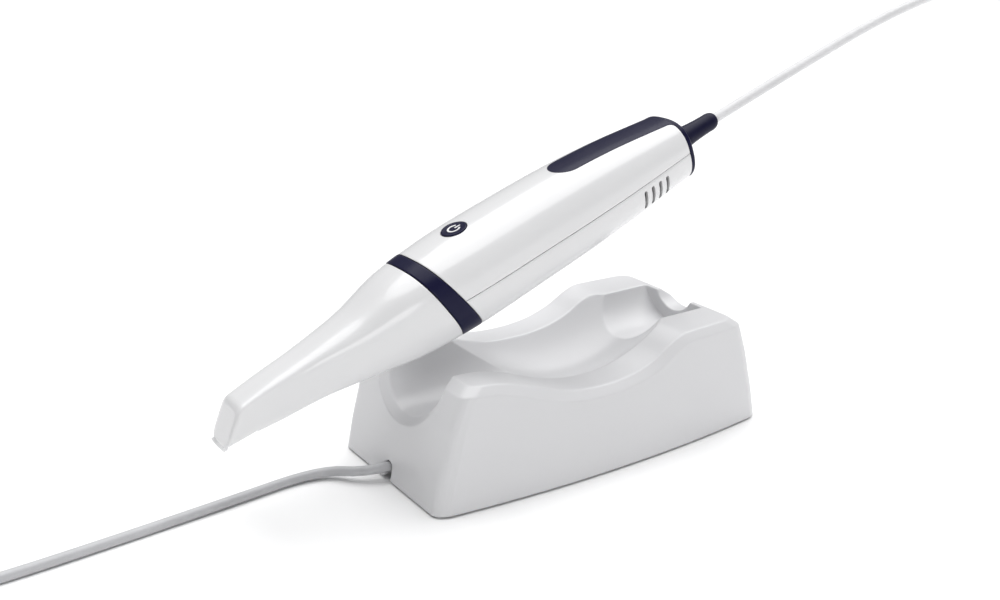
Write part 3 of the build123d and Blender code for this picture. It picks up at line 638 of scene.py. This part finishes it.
def build_boot():
    """The flexible boot: flared root, slim waist, rounded end round the cable."""
    root = CAP_END - 0.6
    waist, flare, fade = 3.4, 2.7, 6.0
    outline = [(root - 3.0, 0.01), (root - 3.0, 4.3), (root, 4.3), (root, waist + flare)]
    for u in np.linspace(root + 0.1, 124.2, 28):
        outline.append((u, waist + flare * math.exp(-(u - root) / fade)))
    for t in np.linspace(0, math.pi / 2, 10):
        outline.append((124.6 + 3.3 * math.sin(t), 2.05 + 1.52 * math.cos(t)))
    outline += [(127.6, 1.9), (126.0, 1.85)]
    boot = turned("strain_relief_skin", outline, "boot_navy", "handpiece")
    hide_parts("strain_relief")


def build_button():
    """Round dark button with a soft edge and a shallow dish."""
    top = float(top_height(np.array(BUTTON_U), np.array(0.0), 0.0))
    rows = [(0.02, BUTTON_ROOT), (BUTTON_RADIUS, BUTTON_ROOT)]
    edge = ((0.0, 0.02), (0.06, 0.16), (0.2, 0.25), (0.5, 0.28), (0.9, 0.2))
    rows += [(BUTTON_RADIUS - inward, top + rise) for inward, rise in edge]
    for r in np.linspace(3.7, 0.02, 14):
        rows.append((r, top + 0.2 - 0.12 * (1 - (r / 3.9) ** 2)))
    angle = np.linspace(0, 2 * math.pi, 96, endpoint=False)
    points = [(BUTTON_U + r * math.cos(t), r * math.sin(t), v) for r, v in rows for t in angle]
    faces = grid_faces(len(rows), len(angle), True)
    button = make_object("power_button_skin", in_hand(points), faces, "navy_trim", "button", 40.0)
    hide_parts("power_button")
    build_icon(top + 0.13)


def build_icon(face):
    """Pale power sign let into the button at the height of its face: open ring and bar."""
    arc = np.linspace(0.62, 2 * math.pi - 0.62, 60)
    section = ((1.75, -0.1), (1.78, 0.1), (2.42, 0.12), (2.45, -0.1))
    points = [
        (BUTTON_U + r * math.cos(t), r * math.sin(t), face + h) for t in arc for r, h in section
    ]
    base = len(points)
    faces = grid_faces(len(arc), 4, True) + [(0, 1, 2, 3), tuple(range(base - 4, base))]
    section = ((-0.32, -0.1), (-0.3, 0.11), (0.3, 0.11), (0.32, -0.1))
    points += [(BUTTON_U + u, y, face + h) for u in (0.45, 2.75) for y, h in section]
    faces += grid_faces(2, 4, True, base)
    faces += [tuple(range(base, base + 4)), tuple(range(base + 4, base + 8))]
    icon = make_object("power_icon_skin", in_hand(points), faces, "icon_white", "button")
    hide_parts("power_icon")


# =====================================================================================
# Cradle
# =====================================================================================
def rim(x):
    """Height of the cradle's rim along its length."""
    return smooth_curve(SADDLE, x)[..., 0]


def half_plan(z, inset, count=70):
    """Near half of the cradle's outline at level z: front middle, corner, side, corner, rear middle."""
    half = float(np.interp(z, END_PROFILE[:, 0], END_PROFILE[:, 1])) - inset
    rise = z / RIM_TOP
    width = END_WIDTH / 2 - 0.3 * rise - inset
    bow = SIDE_BOW + (TOP_BOW - SIDE_BOW) * rise
    corner = CORNER
    ends = [(-half, y) for y in np.linspace(0, -(width - corner), 22)]
    turn = [(-half + corner * (1 - math.cos(t)), -(width - corner) - corner * math.sin(t))
            for t in np.linspace(0.25, math.pi / 2 - 0.25, 5)]
    along = np.linspace(-half + corner, half - corner, count)
    side = [(x, -width - bow * (1 - (x / half) ** 2)) for x in along]
    back = [(-x, y) for x, y in reversed(turn)]
    stern = [(-x, y) for x, y in reversed(ends)]
    return np.array(ends + turn + side + back + stern)


def cradle_points():
    """Rows of points up the cradle's outside, over its rim band, to the lip."""
    rows = []
    levels = np.linspace(0, 1, 22)
    top_plan = half_plan(RIM_TOP, 0.0)
    edge = rim(top_plan[:, 0]) - BAND_HIGH
    for level in levels:
        z = FOOT + (edge - FOOT) * level
        row = [half_plan(float(h), 0.0)[i] for i, h in enumerate(z)]
        rows.append(np.column_stack([row, z]))
    inner = np.array([half_plan(RIM_TOP, BAND_DEEP)[i] for i in range(len(top_plan))])
    rows.append(np.column_stack([inner, rim(inner[:, 0])]))
    return rows


def cradle_solid():
    """The closed block, before it is hollowed."""
    near = cradle_points()
    n = len(near[0])
    loops = []
    for row in near:
        far = row[1:-1][::-1] * (1, -1, 1)
        loops.append(np.concatenate([row, far]))
    count = len(loops[0])
    points = np.concatenate(loops)
    faces = grid_faces(len(loops), count, True)
    last = (len(loops) - 1) * count
    opposite = [last + (count - i) % count for i in range(n)]
    for i in range(n - 1):
        faces.append((last + i, last + i + 1, opposite[i + 1], opposite[i]))
    opposite = [(count - i) % count for i in range(n)]
    for i in range(n - 1):
        faces.append((i, i + 1, opposite[i + 1], opposite[i]))
    clean = [tuple(dict.fromkeys(f)) for f in faces]
    return make_object("cradle_skin", points * MM, [f for f in clean if len(f) > 2], None, None)


def metres(points):
    """Points in mm to metres."""
    return np.asarray(points, float) * MM


def trough_cutter():
    """The long hollow: a section of one radius bent along another."""
    x0, z0, bend, section = TROUGH
    xs = np.linspace(TROUGH_FRONT, 55.0, 140)
    ys = np.sin(np.linspace(-math.pi / 2 + 0.05, math.pi / 2 - 0.05, 81)) * section
    rise = (bend + np.sqrt(section**2 - ys**2)) ** 2
    depth = rise[None, :] - (xs[:, None] - x0) ** 2
    floor = np.minimum(z0 - np.sqrt(np.maximum(depth, 0)), 66.0)
    under = np.stack(np.broadcast_arrays(xs[:, None], ys[None, :], floor), -1).reshape(-1, 3)
    over = under.copy()
    over[:, 2] = 70.0
    m, n = len(xs), len(ys)
    faces = grid_faces(m, n) + grid_faces(m, n, False, m * n)
    border = [j for j in range(n)] + [i * n + n - 1 for i in range(1, m)]
    border += [(m - 1) * n + j for j in range(n - 2, -1, -1)] + [i * n for i in range(m - 2, 0, -1)]
    for a, b in zip(border, border[1:] + border[:1]):
        faces.append((a, b, m * n + b, m * n + a))
    return make_object("trough_cutter", metres(np.concatenate([under, over])), faces, None, None)


def gutter_cutter(x0, x1, z, radius):
    """A round-bottomed cutter along the cradle, open upwards."""
    arc = np.linspace(math.pi, 2 * math.pi, 61)
    outline = [(x0, radius * math.cos(t), z + radius * math.sin(t)) for t in arc]
    outline += [(x0, radius, 66.0), (x0, -radius, 66.0)]
    return prism("gutter_cutter", outline, (x1 - x0, 0, 0), metres)


def mouth_cutter():
    """The bevel round the front channel where it breaks the leaning front face."""
    _, _, z, radius = CHANNEL
    arc = np.linspace(math.pi, 2 * math.pi, 61)
    loops = []
    for deep, wider in ((2.6, 0.0), (-0.6, 3.0)):
        loop = []
        for t in arc:
            height = z + (radius + wider) * math.sin(t)
            face = float(np.interp(height, END_PROFILE[:, 0], END_PROFILE[:, 1]))
            loop.append((deep - face, (radius + wider) * math.cos(t), height))
        loop += [(loop[-1][0], loop[-1][1], 66.0), (loop[0][0], loop[0][1], 66.0)]
        loops.append(loop)
    n = len(loops[0])
    faces = grid_faces(2, n, True) + [tuple(range(n)), tuple(range(n, 2 * n))]
    return make_object("mouth_cutter", metres(loops[0] + loops[1]), faces, None, None)


def door_cutter():
    """The arched cable opening at the foot of the front."""
    radius, high, middle = 2.5, 7.6, 0.8
    before, below, deep = -90.0, -2.0, 30.0
    outline = []
    for t in np.linspace(0, math.pi, 19):
        y, z = middle + radius * math.cos(t), high - radius + radius * math.sin(t)
        outline.append((before, y, z))
    outline += [(before, middle - radius, below), (before, middle + radius, below)]
    return prism("door_cutter", outline, (deep, 0, 0), metres)


def cavity_cutter():
    """The room under the cradle for its base plate, weight and board."""
    near = half_plan(0.0, 3.0)
    outline = np.concatenate([near, near[1:-1][::-1] * (1, -1)])
    keep = np.abs(outline[:, 0]) < 68.0
    outline = [(x, y, -2.0) for x, y in outline[keep]]
    return prism("cavity_cutter", outline, (0, 0, 19.0), metres)


def build_cradle():
    """The moulded cradle, its edges softened by a remesh and a light smoothing."""
    block = cradle_solid()
    cutters = [trough_cutter(), mouth_cutter(), door_cutter(), cavity_cutter()]
    cutters += [gutter_cutter(*g) for g in (CHANNEL, POCKET, NOTCH)]
    cut(block, cutters)
    remesh = block.modifiers.new("remesh", "REMESH")
    remesh.mode = "SHARP"
    remesh.octree_depth = 8
    remesh.scale = 0.98
    remesh.use_remove_disconnected = False
    soften = block.modifiers.new("soften", "SMOOTH")
    soften.factor = 0.5
    soften.iterations = 3
    apply_modifiers(block)
    dress(block, "cradle_grey", 80.0)
    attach(block, "cradle")
    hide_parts("cradle_body")


# =====================================================================================
# Cords
# =====================================================================================
def coil_points(centre, start, knots, per_turn=20):
    """Points of a coil: knots give the turns made so far, the radius and the height in mm."""
    turns, radius, height = np.array(knots).T
    at = np.arange(0, turns[-1] + 1e-6, 1 / per_turn)
    angle = start + 2 * math.pi * at
    r, z = np.interp(at, turns, radius), np.interp(at, turns, height)
    x = centre[0] + r * np.cos(angle)
    y = centre[1] + r * np.sin(angle)
    return [(float(a) * MM, float(b) * MM, float(c) * MM) for a, b, c in zip(x, y, z)]


def route_curve(name, points):
    """A smooth spline with the cord's route and turns as its control points."""
    curve = bpy.data.curves.new(name, "CURVE")
    curve.dimensions = "3D"
    curve.resolution_u = 6
    spline = curve.splines.new("NURBS")
    spline.points.add(len(points) - 1)
    for control, point in zip(spline.points, points):
        control.co = (*point, 1.0)
    spline.order_u = 3
    spline.use_endpoint_u = True
    obj = bpy.data.objects.new(name, curve)
    bpy.context.scene.collection.objects.link(obj)
    return obj


def centreline(obj):
    """Points along a curve, read from its own spline."""
    bpy.context.view_layer.update()
    graph = bpy.context.evaluated_depsgraph_get()
    line = bpy.data.meshes.new_from_object(obj.evaluated_get(graph))
    points = [vertex.co.copy() for vertex in line.vertices]
    bpy.data.meshes.remove(line)
    bpy.data.objects.remove(obj)
    return points


def tube_mesh(name, path, radius, material, segments=20):
    """A round tube along a path, without twist."""
    forward = [(b - a).normalized() for a, b in zip(path, path[1:])]
    inner = [(a + b).normalized() for a, b in zip(forward, forward[1:])]
    forward = [forward[0], *inner, forward[-1]]
    side = forward[0].cross(Vector((0, 1, 0))).normalized()
    points = []
    for here, ahead in zip(path, forward):
        side = (side - ahead * side.dot(ahead)).normalized()
        up = ahead.cross(side)
        for k in range(segments):
            t = 2 * math.pi * k / segments
            points.append(here + (side * math.cos(t) + up * math.sin(t)) * radius)
    faces = grid_faces(len(path), segments, True)
    faces.append(tuple(range(segments)))
    faces.append(tuple(range((len(path) - 1) * segments, len(path) * segments)))
    mesh = bpy.data.meshes.new(name)
    mesh.from_pydata([tuple(p) for p in points], [], faces)
    obj = bpy.data.objects.new(name, mesh)
    bpy.context.scene.collection.objects.link(obj)
    dress(obj, material, 60.0)
    return obj


def build_handpiece_cable():
    """The white cable: out of the boot, over in a bow, down to its coil beside the cradle."""
    knots = [(0.0, 31.9, 9.0), (0.14, 31.9, 2.0), (4.0, 15.9, 2.0), (4.25, 15.9, 6.0), (7.0, 27.9, 6.0),
             (7.25, 27.0, 10.0), (10.0, 15.6, 10.0), (10.2, 16.6, 14.0), (10.44, 20.2, 16.0)]
    turns = coil_points((331.0, -14.0), math.pi, knots)
    end = [(0.351, -0.0195, 0.016), (0.351, -0.0178, 0.016)]
    path = centreline(route_curve("handpiece_route", HANDPIECE_ROUTE + turns + end))
    cable = tube_mesh("handpiece_cable_skin", path, 0.002, "cable_white")
    length = sum((b - a).length for a, b in zip(path, path[1:]))
    print("handpiece cable", round(length, 4))
    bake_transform(cable)
    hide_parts("handpiece_cable", "handpiece_cable_coil")


def build_dock_cable():
    """The grey cable from the cradle's foot, along the table to its coil."""
    knots = [(0.0, 29.2, 1.8), (4.0, 14.4, 1.8), (4.25, 14.4, 5.4), (7.0, 25.5, 5.4), (7.25, 24.6, 9.0),
             (9.9, 14.6, 9.0), (10.02, 17.0, 12.6), (10.15, 22.6, 14.0)]
    turns = coil_points((-240.0, -15.5), math.pi / 2, knots)
    end = [(-0.260, -0.0046, 0.014), (-0.260, -0.0062, 0.014)]
    path = centreline(route_curve("dock_route", DOCK_ROUTE + turns + end))
    cable = tube_mesh("dock_cable_skin", path, 0.0018, "cable_grey")
    length = sum((b - a).length for a, b in zip(path, path[1:]))
    print("dock cable", round(length, 4))
    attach(cable, "cradle")
    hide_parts("dock_cable", "dock_cable_coil")


# =====================================================================================
# Carried-over CAD pieces, stage, light, camera
# =====================================================================================
def dress_cad():
    """Every CAD piece that shows gets its own procedural material."""
    slots = {s["node"]: s["material_slot"] for s in frame["record"]["subparts"]}
    for name, node in NODES.items():
        if not node.hide_render:
            node.data.materials.clear()
            node.data.materials.append(MATERIALS[slots[name]])


def build_stage():
    """A plain white floor."""
    size = 14.0
    mesh = bpy.data.meshes.new("floor")
    corners = [(-size, -size, 0), (size, -size, 0), (size, size, 0), (-size, size, 0)]
    mesh.from_pydata(corners, [], [(0, 1, 2, 3)])
    floor = bpy.data.objects.new("floor", mesh)
    bpy.context.scene.collection.objects.link(floor)
    mat, _, shader = new_material("floor_white")
    shader.inputs["Base Color"].default_value = (0.97, 0.97, 0.97, 1.0)
    shader.inputs["Roughness"].default_value = 0.9
    shader.inputs["Specular IOR Level"].default_value = 0.0
    floor.data.materials.append(mat)


def sun(name, energy, spread, turn):
    """A soft, even light from far away, turned by three angles in degrees."""
    data = bpy.data.lights.new(name, "SUN")
    data.energy = energy
    data.angle = math.radians(spread)
    light = bpy.data.objects.new(name, data)
    light.rotation_euler = [math.radians(a) for a in turn]
    bpy.context.scene.collection.objects.link(light)


def build_light():
    """Pale surroundings, a broad light from above, and a low one from the near side."""
    world = bpy.data.worlds.new("surroundings")
    world.use_nodes = True
    world.node_tree.nodes["Background"].inputs["Color"].default_value = (0.98, 0.985, 1.0, 1.0)
    world.node_tree.nodes["Background"].inputs["Strength"].default_value = 0.20
    bpy.context.scene.world = world
    sun("overhead", 3.5, 75.0, (-10.0, 11.0, 0.0))
    sun("fill", 0.50, 25.0, (82.0, 0.0, -12.0))


def build_camera():
    """The camera, as fitted to the photograph's view."""
    data = bpy.data.cameras.new("camera")
    data.lens = 42.31
    data.sensor_width = 36.0
    data.clip_start = 0.01
    camera = bpy.data.objects.new("camera", data)
    camera.location = (-0.24963, -0.33249, 0.20172)
    camera.rotation_euler = (math.radians(70.41), 0.0, math.radians(-33.87))
    bpy.context.scene.collection.objects.link(camera)
    bpy.context.scene.camera = camera
    bpy.context.scene.view_settings.view_transform = "Standard"


build_camera()
build_handpiece_cable()
build_dock_cable()
build_shells()
build_ring()
build_tip()
build_lip()
build_inlay()
build_cap()
build_boot()
build_button()
build_cradle()
dress_cad()
build_stage()
build_light()
